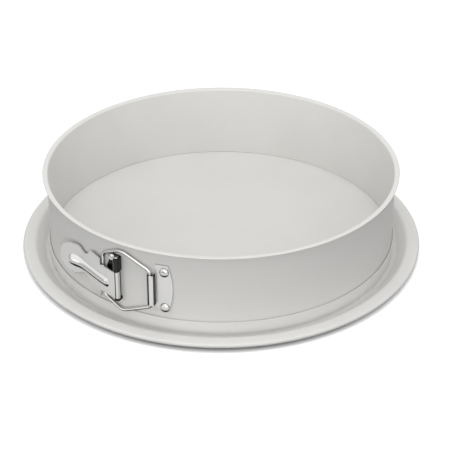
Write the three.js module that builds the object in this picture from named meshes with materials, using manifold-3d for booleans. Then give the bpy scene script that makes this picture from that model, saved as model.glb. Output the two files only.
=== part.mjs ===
// A springform cake pan: a wide tray with a raised floor, a spring band that stands round that floor,
// and an over-centre latch that pulls the two ends of the band together.
// Millimetres, +Z up. The origin is on the table, under the middle of the tray. The latch faces -Y.

import * as THREE from 'three';
import { mergeVertices } from 'three/addons/utils/BufferGeometryUtils.js';
import Module from 'manifold-3d';

const wasm = await Module();
wasm.setup();

// Fits
const CLEARANCE = 0.3; // between pieces that touch, and round every pin

// Tray
const TRAY_SHEET = 0.8;
const TRAY_RADIUS = 152; // outside of the rolled edge
const EDGE_ROLL = 1.7; // outer radius of the rolled edge
const TRAY_RIM_TOP = 7.2; // flat rim above the table
const TRAY_RIM_INNER = 142.6; // where the flat rim starts
const GUTTER_RADIUS = 134.9; // outer edge of the gutter's floor
const FLOOR_TOP = 8; // raised floor above the table
const FLOOR_RADIUS = 131; // outside of the step that carries the raised floor

// Band
const PAN_RADIUS = 130; // inside of the wall: a 26 cm pan
const BAND_SHEET = 0.75;
const BAND_TOP = 66; // rim above the table
const LIP_REACH = 3.4; // flared rim, out from the middle of the wall
const LIP_RISE = 0.3; // height of the flare
const LIP_CURVE = 1;
const CREASE_HEIGHT = 12.2; // where the wall steps out over the floor's edge
const SKIRT_TOP = 8.6;
const SKIRT_BOTTOM = 3.5;
const END_GAP = 0.4; // between the ends of the band while the latch is shut
const BACK_GAP = 0.3; // where the two halves of the band meet at the back
const TONGUE_LENGTH = 20; // overlap behind the left end
const TONGUE_TOP = 62.5;
const TONGUE_FLOOR_GAP = 0.6; // under the tongue, above the raised floor

// Latch, measured along the outside of the wall from the lever's pin, to the right, and out from the wall
const LATCH_HEIGHT = 36.8; // middle of the two brackets
const BRACKET_SHEET = 0.9;
const RIVET_SPACING = 28.8;
const RIVET_SHANK = 1.6;
const RIVET_HEAD = 3.4;
const RIVET_HEAD_HEIGHT = 1.6;

const PIN_RADIUS = 1;
const PIN_OFF_WALL = 4.4;
const PIN_HEAD = 1.7;
const PIN_HEAD_HEIGHT = 0.7;
const HINGE_RIVET_ALONG = -5.4;
const HINGE_PLATE_HEIGHT = 35.6;
const HINGE_PLATE_LEFT = -5; // straight corners of the plate
const HINGE_PLATE_BULGE = -11.2; // middle of its bowed edge
const HINGE_PLATE_RIGHT = 0.5; // its edge between the knuckles
const KNUCKLE_LENGTH = 34.8; // both knuckles and the lever's curl between them

const CATCH_ALONG = 25.6; // the wire's right leg
const CATCH_OFF_WALL = 3.2;
const CATCH_ROLL_LENGTH = 24;
const CATCH_WEB_ALONG = 2.9; // standing web, right of the wire's leg
const CATCH_PLATE_HEIGHT = 37;
const CATCH_PLATE_LEFT = 2.4;
const CATCH_PLATE_RIGHT = 12.4; // straight corners of the plate
const CATCH_PLATE_BULGE = 15.7; // middle of its bowed edge
const CATCH_RIVET_ALONG = 9.7;
const CATCH_RIVET_DROP = 1.5; // middle of its rivets, below the middle of the brackets

// Lever
const LEVER_DROP = 4.4; // middle of its neck, below the middle of the brackets
const LEVER_SHEET = 1;
const LEVER_LEAN = THREE.MathUtils.degToRad(12.7); // neck, towards the wall while shut
const SHANK_BEND = THREE.MathUtils.degToRad(3); // shank, further towards the wall
const KNOB_BEND = THREE.MathUtils.degToRad(13.4); // round end, back out from the wall
const BEND_REACH = 3; // rounding of both bends
const SHANK_RISE = THREE.MathUtils.degToRad(10.3); // middle line of the shank, above the level
const KNOB_FALL = THREE.MathUtils.degToRad(7.6); // middle line after the second bend, below the level
const NECK_HALF = 10.9;
const NECK_LENGTH = 14.9;
const SHOULDER_HALF = 15.4;
const SHOULDER_LENGTH = 10.9;
const SHANK_LENGTH = 23.2; // neck to the second bend
const KNOB_OFFSET = 6.1; // that bend to the middle of the round end
const KNOB_RADIUS = 12.5;
const KNOB_MEETS = THREE.MathUtils.degToRad(52); // where the waist runs into the round end
const WAIST_EASE = 5; // length of the curves into and out of the waist
const RIB_START = 9.5; // pin to the middle of the rib's narrow end
const RIB_DROP = 0.9; // the narrow end below the pin's middle
const RIB_RADIUS = 3.5;
const RIB_HEIGHT = 2;
const RIB_FLARE = 13; // length over which the rib widens to its dome
const BULB_RADIUS = 4.6; // dome at the rib's wide end
const BULB_HEIGHT = 3.2;
const BULB_DROP = 1.5; // dome below the round end's middle
const EAR_SHEET = 1;
const EAR_OFFSET = 6; // ears above and below the neck's middle
const EAR_WEB = 0.8; // metal each side of the wire's slot
const EAR_DEPTH = 2.5; // in from the blade

// Wire bail
const WIRE_RADIUS = 1.1;
const BAIL_DROP = 1.5; // middle of the bail, below the middle of the brackets
const BAIL_ALONG_LEVER = 14.4; // pin to the wire's left leg
const BAIL_RIGHT_HALF = 14.6;
const BAIL_PEAK_HALF = 24.8;
const BAIL_LEFT_HALF = 17.2;
const BAIL_PEAK_ALONG = 23.4; // right leg to the peaks
const BAIL_BOW = 1.5; // peaks out from the line between the legs, round the wall
const BAIL_BEND = 2.2; // rounding at the right leg
const BAIL_WIDE_BEND = 4; // and at the other corners
const BAIL_END_GAP = 0.6; // between the wire's two ends, inside the catch's roll
const BAIL_SLIP = 3.4; // play of the left leg along its slots
const BAIL_PLAY_OUT = 0.2; // play of the left leg towards the blade

// Facets
const TURN_STEPS = 72;
const BEND_STEPS = 2;
const ROLL_STEPS = 10;
const PIN_STEPS = 20;

// Radii and places that follow
const wallMiddle = PAN_RADIUS + BAND_SHEET / 2;
const wallOuter = PAN_RADIUS + BAND_SHEET;
const skirtMiddle = FLOOR_RADIUS + CLEARANCE + BAND_SHEET / 2;
const plateMiddle = wallOuter + CLEARANCE + BRACKET_SHEET / 2;
const plateOuter = wallOuter + CLEARANCE + BRACKET_SHEET;
const knuckleMiddle = PIN_RADIUS + CLEARANCE + BRACKET_SHEET / 2;
const curlMiddle = PIN_RADIUS + CLEARANCE + LEVER_SHEET / 2;
const curlOuter = PIN_RADIUS + CLEARANCE + LEVER_SHEET;
const rollMiddle = WIRE_RADIUS + CLEARANCE + BRACKET_SHEET / 2;
const pinOut = wallOuter + PIN_OFF_WALL;
const catchOut = wallOuter + CATCH_OFF_WALL;
const catchAngle = CATCH_ALONG / wallOuter;
const catchRivetMiddle = LATCH_HEIGHT - CATCH_RIVET_DROP;
const bladeInside = PIN_RADIUS + CLEARANCE;
const leverHeight = LATCH_HEIGHT - LEVER_DROP;
const bailHeight = LATCH_HEIGHT - BAIL_DROP;
const earRight = BAIL_ALONG_LEVER - BAIL_SLIP - WIRE_RADIUS - CLEARANCE - EAR_WEB;
const earLeft = BAIL_ALONG_LEVER + WIRE_RADIUS + CLEARANCE + EAR_WEB;
const legIn = WIRE_RADIUS + CLEARANCE + BAIL_PLAY_OUT - bladeInside; // the wire's left leg, in from the pin
const bandEnd = knuckleMiddle + BRACKET_SHEET / 2; // the left end is flush with the hinge's standing web

// Solids and geometries

function solid(geometry) {
  const bare = geometry.clone();
  bare.deleteAttribute('normal');
  bare.deleteAttribute('uv');
  const shared = mergeVertices(bare, 1e-4);
  const corners = shared.index.array;
  const triangles = [];
  for (let i = 0; i < corners.length; i += 3) {
    const [a, b, c] = corners.slice(i, i + 3);
    if (a !== b && b !== c && c !== a) triangles.push(a, b, c);
  }
  return new wasm.Manifold(new wasm.Mesh({
    numProp: 3,
    vertProperties: new Float32Array(shared.attributes.position.array),
    triVerts: new Uint32Array(triangles),
  }));
}

function geometryOf(body) {
  const mesh = body.getMesh();
  const geometry = new THREE.BufferGeometry();
  geometry.setAttribute('position', new THREE.BufferAttribute(new Float32Array(mesh.vertProperties), 3));
  geometry.setIndex(new THREE.BufferAttribute(new Uint32Array(mesh.triVerts), 1));
  geometry.computeVertexNormals();
  return geometry;
}

// Outlines

// A line through corners [x, y, reach]. A corner with a reach is rounded over that reach each way.
function rounded(corners) {
  const path = new THREE.Path();
  corners.forEach(([x, y, reach = 0], i) => {
    const here = new THREE.Vector2(x, y);
    if (i === 0) {
      path.moveTo(x, y);
    } else if (reach === 0) {
      path.lineTo(x, y);
    } else {
      const towards = ([a, b]) => new THREE.Vector2(a, b).sub(here).setLength(reach).add(here);
      const before = towards(corners[i - 1]);
      const after = towards(corners[i + 1]);
      path.lineTo(before.x, before.y);
      path.quadraticCurveTo(x, y, after.x, after.y);
    }
  });
  return path.getPoints(BEND_STEPS);
}

function arc(x, y, radius, from, to, steps) {
  const points = [];
  for (let i = 0; i <= steps; i += 1) {
    const angle = THREE.MathUtils.degToRad(from + ((to - from) * i) / steps);
    points.push(new THREE.Vector2(x + radius * Math.cos(angle), y + radius * Math.sin(angle)));
  }
  return points;
}

// The outline of a strip of sheet, from the line along its middle.
function strip(middle, sheet) {
  const directions = middle.slice(1).map((point, i) => point.clone().sub(middle[i]).normalize());
  const sides = middle.map((point, i) => {
    const before = directions[Math.max(i - 1, 0)];
    const after = directions[Math.min(i, directions.length - 1)];
    const across = new THREE.Vector2(-before.y - after.y, before.x + after.x).normalize();
    const mitre = across.dot(new THREE.Vector2(-before.y, before.x));
    return across.multiplyScalar(sheet / 2 / mitre);
  });
  const right = middle.map((point, i) => point.clone().sub(sides[i]));
  const left = middle.map((point, i) => point.clone().add(sides[i]));
  return [...right, ...left.reverse()];
}

// A point of the plan at a distance along the wall and a distance from the pan's axis.
function around(along, out) {
  const angle = along / wallOuter;
  return new THREE.Vector2(out * Math.sin(angle), -out * Math.cos(angle));
}

function wallArc(from, to, out, steps) {
  return Array.from({ length: steps + 1 }, (_, i) => around(from + ((to - from) * i) / steps, out));
}

// Forms

function turned(profile) {
  return new THREE.LatheGeometry(profile, TURN_STEPS).rotateX(Math.PI / 2);
}

// A plan outline, standing from one height to another.
function standing(plan, low, high) {
  const shape = new THREE.Shape(plan);
  return new THREE.ExtrudeGeometry(shape, { depth: high - low, bevelEnabled: false }).translate(0, 0, low);
}

// A front outline in x and z, reaching outwards from one y to another.
function facing(shape, inside, outside) {
  const options = { depth: inside - outside, bevelEnabled: false, curveSegments: PIN_STEPS / 2 };
  return new THREE.ExtrudeGeometry(shape, options).rotateX(Math.PI / 2).translate(0, inside, 0);
}

// A round hole or bar along the line that runs out of the pan's axis at a place along the wall.
function radialBar(along, height, radius) {
  const middle = around(along, wallOuter);
  return new THREE.CylinderGeometry(radius, radius, RIVET_HEAD * 4, PIN_STEPS)
    .rotateZ(along / wallOuter)
    .translate(middle.x, middle.y, height);
}

function box(low, high) {
  const size = new THREE.Vector3().subVectors(high, low);
  const middle = new THREE.Vector3().addVectors(high, low).multiplyScalar(0.5);
  return new THREE.BoxGeometry(size.x, size.y, size.z).translate(middle.x, middle.y, middle.z);
}

function rivetHeights(middle) {
  return [middle + RIVET_SPACING / 2, middle - RIVET_SPACING / 2];
}

function withRivetHoles(body, along, middle) {
  const bars = rivetHeights(middle).map((height) => solid(radialBar(along, height, RIVET_SHANK + CLEARANCE)));
  return bars.reduce((rest, bar) => rest.subtract(bar), body);
}

// Tray: one sheet, from the middle of the raised floor out to the rolled edge
function trayGeometry() {
  const half = TRAY_SHEET / 2;
  const rollMiddleRadius = EDGE_ROLL - half;
  const rollAxis = TRAY_RADIUS - EDGE_ROLL;
  const sheet = rounded([
    [0, FLOOR_TOP - half],
    [FLOOR_RADIUS - half, FLOOR_TOP - half, 1.2],
    [FLOOR_RADIUS - half, half, 1.2],
    [GUTTER_RADIUS, half, 1.6],
    [TRAY_RIM_INNER, TRAY_RIM_TOP - half, 1.6],
    [rollAxis, TRAY_RIM_TOP - half],
  ]);
  const roll = arc(rollAxis, TRAY_RIM_TOP - EDGE_ROLL, rollMiddleRadius, 90, -170, 7).slice(1);
  return geometryOf(solid(turned(strip([...sheet, ...roll], TRAY_SHEET))));
}

// Band: one section turned right round, then parted at the latch and at the back
function bandSection() {
  const top = BAND_TOP - BAND_SHEET / 2;
  const outline = strip(rounded([
    [skirtMiddle, SKIRT_BOTTOM],
    [skirtMiddle, SKIRT_TOP, 1.4],
    [wallMiddle, CREASE_HEIGHT, 1.4],
    [wallMiddle, top - LIP_RISE, LIP_CURVE],
    [wallMiddle + LIP_REACH, top],
  ]), BAND_SHEET);
  return [...outline, outline[0]];
}

function bandHalf(side, endX, backX) {
  const far = side * TRAY_RADIUS;
  const plan = [
    [far, -TRAY_RADIUS], [endX, -TRAY_RADIUS], [endX, 0],
    [backX, 0], [backX, TRAY_RADIUS], [far, TRAY_RADIUS],
  ].map(([x, y]) => new THREE.Vector2(x, y));
  const half = solid(standing(plan, 0, BAND_TOP + BAND_SHEET));
  return solid(turned(bandSection())).intersect(half);
}

// The right end runs on behind the left one, set in by the sheet and a clearance.
function tongueSolid() {
  const setIn = BAND_SHEET + CLEARANCE;
  const joggleStart = bandEnd + END_GAP;
  const joggleLength = 2 * BAND_SHEET + CLEARANCE;
  const anchor = joggleStart + 2 * joggleLength;
  const steps = 16;
  const middle = Array.from({ length: steps + 1 }, (_, i) => {
    const along = -TONGUE_LENGTH + ((anchor + TONGUE_LENGTH) * i) / steps;
    const blend = THREE.MathUtils.smoothstep(along, joggleStart, joggleStart + joggleLength);
    return around(along, wallMiddle - setIn * (1 - blend));
  });
  return solid(standing(strip(middle, BAND_SHEET), FLOOR_TOP + TONGUE_FLOOR_GAP, TONGUE_TOP));
}

function bandLeftGeometry() {
  const half = bandHalf(-1, bandEnd, -BACK_GAP / 2);
  return geometryOf(withRivetHoles(half, HINGE_RIVET_ALONG, LATCH_HEIGHT));
}

function bandRightGeometry() {
  const half = bandHalf(1, bandEnd + END_GAP, BACK_GAP / 2).add(tongueSolid());
  return geometryOf(withRivetHoles(half, CATCH_ALONG + CATCH_RIVET_ALONG, catchRivetMiddle));
}

// Hinge bracket: a riveted plate whose right edge stands up and rolls round the lever's pin
const knuckleLow = LATCH_HEIGHT - KNUCKLE_LENGTH / 2;
const knuckleHigh = LATCH_HEIGHT + KNUCKLE_LENGTH / 2;
const curlLow = leverHeight - NECK_HALF;
const curlHigh = leverHeight + NECK_HALF;
const earHalf = EAR_OFFSET + EAR_SHEET / 2 + 2 * CLEARANCE;

function plateOutline(straight, corner, bulge, half) {
  const shape = new THREE.Shape();
  shape.moveTo(straight, LATCH_HEIGHT - half);
  shape.lineTo(corner, LATCH_HEIGHT - half);
  shape.quadraticCurveTo(2 * bulge - corner, LATCH_HEIGHT, corner, LATCH_HEIGHT + half);
  shape.lineTo(straight, LATCH_HEIGHT + half);
  return shape;
}

function plateSolid(from, to, outline) {
  const section = strip(wallArc(from, to, plateMiddle, 8), BRACKET_SHEET);
  const sheet = solid(standing(section, 0, BAND_TOP));
  return sheet.intersect(solid(facing(outline, -PAN_RADIUS / 2, -TRAY_RADIUS)));
}

function hingeBracketGeometry() {
  const webX = knuckleMiddle;
  const outline = plateOutline(webX, HINGE_PLATE_LEFT, HINGE_PLATE_BULGE, HINGE_PLATE_HEIGHT / 2);
  const plate = plateSolid(HINGE_PLATE_BULGE - 1, webX, outline);
  const base = plateMiddle * Math.cos(webX / wallOuter);
  const rolled = strip([
    ...rounded([[0, -plateMiddle], [webX, -base, 1], [webX, -pinOut]]),
    ...arc(0, -pinOut, knuckleMiddle, 0, -265, ROLL_STEPS).slice(1),
  ], BRACKET_SHEET);
  const lower = solid(standing(rolled, knuckleLow, curlLow - CLEARANCE));
  const upper = solid(standing(rolled, curlHigh + CLEARANCE, knuckleHigh));
  // The bowed edge is cut back behind the lever's ears.
  const window = solid(box(
    new THREE.Vector3(HINGE_PLATE_BULGE * 2, -TRAY_RADIUS, leverHeight - earHalf),
    new THREE.Vector3(EAR_SHEET - earRight, -PAN_RADIUS / 2, leverHeight + earHalf),
  ));
  // Its other edge is cut back behind the lever's curl.
  const notch = solid(box(
    new THREE.Vector3(HINGE_PLATE_RIGHT, -TRAY_RADIUS, curlLow - CLEARANCE),
    new THREE.Vector3(2 * webX, -PAN_RADIUS / 2, curlHigh + CLEARANCE),
  ));
  const bracket = plate.subtract(window).subtract(notch).add(lower).add(upper);
  return geometryOf(withRivetHoles(bracket, HINGE_RIVET_ALONG, LATCH_HEIGHT));
}

// Catch bracket: a riveted plate whose left edge stands up and rolls over the wire's right leg.
// It is built with the leg at x = 0, and turned into place round the pan's axis.
function catchBracketGeometry() {
  const half = CATCH_PLATE_HEIGHT / 2;
  const outline = plateOutline(CATCH_PLATE_LEFT, CATCH_PLATE_RIGHT, CATCH_PLATE_BULGE, half);
  const plate = plateSolid(CATCH_PLATE_LEFT, CATCH_PLATE_BULGE + 1, outline);
  const rollTop = -catchOut - rollMiddle;
  const rolled = strip([
    ...rounded([
      [CATCH_PLATE_RIGHT / 2, -plateMiddle],
      [CATCH_WEB_ALONG, -plateMiddle, 0.7],
      [CATCH_WEB_ALONG, rollTop, 1.4],
      [0, rollTop],
    ]),
    ...arc(0, -catchOut, rollMiddle, -90, -345, ROLL_STEPS).slice(1),
  ], BRACKET_SHEET);
  const reach = CATCH_ROLL_LENGTH / 2;
  const hook = solid(standing(rolled, bailHeight - reach, bailHeight + reach));
  return geometryOf(withRivetHoles(plate.add(hook), CATCH_RIVET_ALONG, catchRivetMiddle));
}

// Rivet: flush inside the band, domed outside. Its axis is y, with the head at the far end.
function rivetGeometry() {
  const seat = plateOuter + CLEARANCE - PAN_RADIUS;
  const stretch = ({ x, y }) => new THREE.Vector2(RIVET_HEAD * x, seat + RIVET_HEAD_HEIGHT * y);
  const dome = arc(0, 0, 1, 0, 90, 5).map(stretch);
  dome[dome.length - 1].x = 0;
  const profile = [[0, 0], [RIVET_SHANK, 0], [RIVET_SHANK, seat]].map(([x, y]) => new THREE.Vector2(x, y));
  return geometryOf(solid(new THREE.LatheGeometry([...profile, ...dome], PIN_STEPS)));
}

// Lever pin: a headed bar through the knuckles
function pinGeometry() {
  const low = knuckleLow - CLEARANCE;
  const high = knuckleHigh + CLEARANCE;
  const profile = [
    [0, low - PIN_HEAD_HEIGHT], [PIN_HEAD, low - PIN_HEAD_HEIGHT], [PIN_HEAD, low], [PIN_RADIUS, low],
    [PIN_RADIUS, high], [PIN_HEAD, high], [PIN_HEAD, high + PIN_HEAD_HEIGHT], [0, high + PIN_HEAD_HEIGHT],
  ].map(([x, y]) => new THREE.Vector2(x, y));
  const turnedBar = new THREE.LatheGeometry(profile, PIN_STEPS).rotateX(Math.PI / 2);
  return geometryOf(solid(turnedBar));
}

// Lever: built about its pin, neck along -x, outer face towards -y, heights from the neck's middle.
// Its sheet has two bends, seen from above: the shank leans in to the wall and the round end comes back out.
function bent(from, length, inwards) {
  return new THREE.Vector2(from.x - length * Math.cos(inwards), from.y + length * Math.sin(inwards));
}

const knobLean = SHANK_BEND - KNOB_BEND;
const neckEnd = new THREE.Vector2(-NECK_LENGTH, -curlMiddle);
const shankEnd = bent(neckEnd, SHANK_LENGTH, SHANK_BEND);
const knobMiddle = bent(shankEnd, KNOB_OFFSET, knobLean);
const knobTip = bent(knobMiddle, 2 * KNOB_RADIUS, knobLean);
const shankHeight = Math.tan(SHANK_RISE) * (neckEnd.x - shankEnd.x);
const knobHeight = shankHeight - Math.tan(KNOB_FALL) * (shankEnd.x - knobMiddle.x);

// The middle line of the sheet in plan, or a line that far outside it.
function leverLine(out) {
  return rounded([
    [knobTip.x, knobTip.y - out],
    [shankEnd.x, shankEnd.y - out, BEND_REACH],
    [neckEnd.x, neckEnd.y - out, BEND_REACH],
    [0, neckEnd.y - out],
  ]);
}

// The blade seen from the front.
function bladeOutline() {
  const meetX = knobMiddle.x + KNOB_RADIUS * Math.cos(KNOB_MEETS);
  const meetZ = KNOB_RADIUS * Math.sin(KNOB_MEETS);
  const shoulderX = neckEnd.x - SHOULDER_LENGTH;
  const shoulderHeight = Math.tan(SHANK_RISE) * SHOULDER_LENGTH;
  const easeX = WAIST_EASE * Math.sin(KNOB_MEETS);
  const easeZ = WAIST_EASE * Math.cos(KNOB_MEETS);
  const shape = new THREE.Shape();
  shape.moveTo(2 * curlOuter, -NECK_HALF);
  shape.lineTo(2 * curlOuter, NECK_HALF);
  shape.lineTo(neckEnd.x, NECK_HALF);
  shape.lineTo(neckEnd.x, SHOULDER_HALF);
  shape.lineTo(shoulderX, shoulderHeight + SHOULDER_HALF);
  shape.bezierCurveTo(
    shoulderX - WAIST_EASE / 2, shoulderHeight + SHOULDER_HALF - WAIST_EASE,
    meetX + easeX, knobHeight + meetZ - easeZ,
    meetX, knobHeight + meetZ,
  );
  shape.absarc(knobMiddle.x, knobHeight, KNOB_RADIUS, KNOB_MEETS, 2 * Math.PI - KNOB_MEETS, false);
  shape.bezierCurveTo(
    meetX + easeX, knobHeight - meetZ + easeZ,
    shoulderX - WAIST_EASE / 2, shoulderHeight - SHOULDER_HALF + WAIST_EASE,
    shoulderX, shoulderHeight - SHOULDER_HALF,
  );
  shape.lineTo(neckEnd.x, -SHOULDER_HALF);
  shape.lineTo(neckEnd.x, -NECK_HALF);
  return shape;
}

// The rib seen from the front: a long bar with round ends, that widens to the middle of the round end.
function ribOutline() {
  const far = new THREE.Vector2(knobMiddle.x, knobHeight - BULB_DROP);
  const near = new THREE.Vector2(-RIB_START, -RIB_DROP);
  const heading = near.clone().sub(far).angle();
  const at = (along, across) => new THREE.Vector2(along, across).add(far).rotateAround(far, heading);
  const quarter = Math.PI / 2;
  const half = RIB_FLARE / 2;
  const shape = new THREE.Shape();
  shape.absarc(near.x, near.y, RIB_RADIUS, heading - quarter, heading + quarter, false);
  shape.lineTo(...at(RIB_FLARE, RIB_RADIUS));
  shape.bezierCurveTo(...at(half, RIB_RADIUS), ...at(half, BULB_RADIUS), ...at(0, BULB_RADIUS));
  shape.absarc(far.x, far.y, BULB_RADIUS, heading + quarter, heading + 3 * quarter, false);
  shape.bezierCurveTo(...at(half, -BULB_RADIUS), ...at(half, -RIB_RADIUS), ...at(RIB_FLARE, -RIB_RADIUS));
  return shape;
}

// A sheet along a line of the plan, cut to an outline seen from the front.
function bentSheet(line, sheet, outline) {
  const tall = 2 * SHOULDER_HALF;
  const plate = solid(standing(strip(line, sheet), -tall, tall));
  return plate.intersect(solid(facing(outline, pinOut, -pinOut)));
}

// The dome starts from the middle of the sheet, so that it joins the blade.
function bulbSolid() {
  const ball = new THREE.SphereGeometry(1, PIN_STEPS, 10);
  ball.scale(BULB_RADIUS, BULB_HEIGHT + LEVER_SHEET / 2, BULB_RADIUS);
  return solid(ball)
    .trimByPlane([0, -1, 0], 0)
    .rotate([0, 0, -THREE.MathUtils.radToDeg(knobLean)])
    .translate([knobMiddle.x, knobMiddle.y, knobHeight - BULB_DROP]);
}

// Ears reach in from the neck, and are slotted from the wall's side for the wire's left leg.
function earSolid(height) {
  return solid(box(
    new THREE.Vector3(-earLeft, -curlMiddle, height - EAR_SHEET / 2),
    new THREE.Vector3(-earRight, EAR_DEPTH - bladeInside, height + EAR_SHEET / 2),
  ));
}

function slotSolid() {
  const low = -EAR_OFFSET - EAR_SHEET;
  return solid(box(
    new THREE.Vector3(EAR_WEB - earLeft, -bladeInside, low),
    new THREE.Vector3(-earRight - EAR_WEB, EAR_DEPTH, -low),
  ));
}

function leverGeometry() {
  const curl = arc(0, 0, curlMiddle, -90, 170, ROLL_STEPS).slice(1);
  const blade = bentSheet([...leverLine(0), ...curl], LEVER_SHEET, bladeOutline());
  const ribSheet = LEVER_SHEET / 2 + RIB_HEIGHT;
  const rib = bentSheet(leverLine(ribSheet / 2), ribSheet, ribOutline());
  const ears = earSolid(EAR_OFFSET).add(earSolid(-EAR_OFFSET)).subtract(slotSolid());
  return geometryOf(blade.add(ears).add(rib).add(bulbSolid()));
}

// Wire bail: one bent wire, built about its right leg, with the left leg along -x and heights from its middle.
// Seen from above it is straight from each leg to the peaks.
function bailGeometry(span) {
  const upper = [
    [0, BAIL_END_GAP / 2],
    [0, BAIL_RIGHT_HALF, BAIL_BEND],
    [-BAIL_PEAK_ALONG, BAIL_PEAK_HALF, BAIL_WIDE_BEND],
    [-span, BAIL_LEFT_HALF, BAIL_WIDE_BEND],
  ];
  const lower = upper.map(([x, y, reach]) => [x, -y, reach]).reverse();
  const points = rounded([...upper, ...lower]).map(({ x, y }) => {
    const share = Math.min(-x / BAIL_PEAK_ALONG, (x + span) / (span - BAIL_PEAK_ALONG));
    return new THREE.Vector3(x, -BAIL_BOW * share, y);
  });
  const route = new THREE.CurvePath();
  points.slice(1).forEach((point, i) => route.add(new THREE.LineCurve3(points[i], point)));
  const section = new THREE.Shape(arc(0, 0, WIRE_RADIUS, 0, 360, 8).slice(0, 8));
  const wire = new THREE.ExtrudeGeometry(section, { steps: 88, extrudePath: route });
  return geometryOf(solid(wire));
}

// Assembly

const coated = { color: 0xc9c8c3, roughness: 0.5, metalness: 0.35 };
const plated = { color: 0xd6d6d4, roughness: 0.18, metalness: 1 };

function piece(name, geometry, finish) {
  const mesh = new THREE.Mesh(geometry, new THREE.MeshStandardMaterial(finish));
  mesh.name = name;
  return mesh;
}

function addRivets(group, name, along, middle) {
  const angle = along / wallOuter;
  const place = around(along, PAN_RADIUS);
  ['upper', 'lower'].forEach((level, i) => {
    const rivet = piece(`${name}_rivet_${level}`, rivetGeometry(), plated);
    rivet.position.set(place.x, place.y, rivetHeights(middle)[i]);
    rivet.rotation.z = angle + Math.PI;
    group.add(rivet);
  });
}

const pan = new THREE.Group();
pan.add(piece('base_tray', trayGeometry(), coated));
pan.add(piece('band_left', bandLeftGeometry(), coated));
pan.add(piece('band_right', bandRightGeometry(), coated));
pan.add(piece('hinge_bracket', hingeBracketGeometry(), plated));
addRivets(pan, 'hinge', HINGE_RIVET_ALONG, LATCH_HEIGHT);

const pin = piece('lever_pin', pinGeometry(), plated);
pin.position.set(0, -pinOut, 0);
pan.add(pin);

const lever = piece('lever', leverGeometry(), plated);
lever.position.set(0, -pinOut, leverHeight);
lever.rotation.z = -LEVER_LEAN;
pan.add(lever);

const catchGroup = new THREE.Group();
catchGroup.rotation.z = catchAngle;
catchGroup.add(piece('catch_bracket', catchBracketGeometry(), plated));
addRivets(catchGroup, 'catch', CATCH_RIVET_ALONG, catchRivetMiddle);
pan.add(catchGroup);

const rightLeg = around(CATCH_ALONG, catchOut);
const leftLeg = new THREE.Vector2(-BAIL_ALONG_LEVER, legIn)
  .rotateAround(new THREE.Vector2(), -LEVER_LEAN)
  .add(new THREE.Vector2(0, -pinOut));
const reach = leftLeg.clone().sub(rightLeg);
const bail = piece('wire_bail', bailGeometry(reach.length()), plated);
bail.position.set(rightLeg.x, rightLeg.y, bailHeight);
bail.rotation.z = reach.angle() - Math.PI;
pan.add(bail);

export default pan;
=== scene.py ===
"""A springform cake pan: coated tray and spring band, bright plated latch.

Sizes of the pan are in millimetres until a piece is placed. The stage, lamps and camera are in metres.
"""
import math

import bmesh
import bpy
from mathutils import Matrix, Vector


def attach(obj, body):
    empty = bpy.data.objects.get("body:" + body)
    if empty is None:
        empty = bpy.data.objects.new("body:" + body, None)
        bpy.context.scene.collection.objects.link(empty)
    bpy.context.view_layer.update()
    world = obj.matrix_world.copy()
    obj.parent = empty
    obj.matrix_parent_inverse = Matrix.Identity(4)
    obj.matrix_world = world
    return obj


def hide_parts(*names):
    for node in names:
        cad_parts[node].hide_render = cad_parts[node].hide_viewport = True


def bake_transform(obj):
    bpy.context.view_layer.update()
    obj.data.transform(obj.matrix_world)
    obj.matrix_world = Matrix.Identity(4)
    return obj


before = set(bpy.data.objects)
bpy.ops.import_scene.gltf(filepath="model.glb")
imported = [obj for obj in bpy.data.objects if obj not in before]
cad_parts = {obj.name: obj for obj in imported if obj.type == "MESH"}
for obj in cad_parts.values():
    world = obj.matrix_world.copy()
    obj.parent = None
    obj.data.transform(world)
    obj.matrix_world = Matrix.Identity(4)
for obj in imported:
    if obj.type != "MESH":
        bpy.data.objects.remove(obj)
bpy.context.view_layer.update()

MM = 0.001

# Sizes that the solids have too
CLEARANCE = 0.3
TRAY_SHEET = 0.8
TRAY_RADIUS = 152
EDGE_ROLL = 1.7
TRAY_RIM_TOP = 7.2
TRAY_RIM_INNER = 142.6
GUTTER_RADIUS = 134.9
FLOOR_TOP = 8
FLOOR_RADIUS = 131
PAN_RADIUS = 130
BAND_SHEET = 0.75
BAND_TOP = 66
LIP_REACH = 3.4
LIP_RISE = 0.3
LIP_CURVE = 1
CREASE_HEIGHT = 12.2
SKIRT_BOTTOM = 3.5
END_GAP = 0.4
TONGUE_LENGTH = 20
TONGUE_TOP = 62.5
TONGUE_FLOOR_GAP = 0.6
LATCH_HEIGHT = 36.8
BRACKET_SHEET = 0.9
RIVET_SPACING = 28.8
RIVET_SHANK = 1.6
RIVET_HEAD = 3.4
RIVET_HEAD_HEIGHT = 1.6
PIN_RADIUS = 1
PIN_OFF_WALL = 4.4
PIN_HEAD = 1.7
PIN_HEAD_HEIGHT = 0.7
HINGE_RIVET_ALONG = -5.4
HINGE_PLATE_HEIGHT = 35.6
HINGE_PLATE_LEFT = -5
HINGE_PLATE_BULGE = -11.2
HINGE_PLATE_RIGHT = 0.5
KNUCKLE_LENGTH = 34.8
CATCH_ALONG = 25.6
CATCH_OFF_WALL = 3.2
CATCH_ROLL_LENGTH = 24
CATCH_WEB_ALONG = 2.9
CATCH_PLATE_HEIGHT = 37
CATCH_PLATE_RIGHT = 12.4
CATCH_PLATE_BULGE = 15.7
CATCH_RIVET_ALONG = 9.7
CATCH_RIVET_DROP = 1.5
LEVER_DROP = 4.4
LEVER_SHEET = 1
LEVER_LEAN = math.radians(12.7)
SHANK_BEND = math.radians(3)
KNOB_BEND = math.radians(13.4)
BEND_REACH = 3
SHANK_RISE = math.radians(10.3)
KNOB_FALL = math.radians(7.6)
NECK_HALF = 10.9
NECK_LENGTH = 14.9
SHOULDER_HALF = 15.4
SHOULDER_LENGTH = 10.9
SHANK_LENGTH = 23.2
KNOB_OFFSET = 6.1
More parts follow.
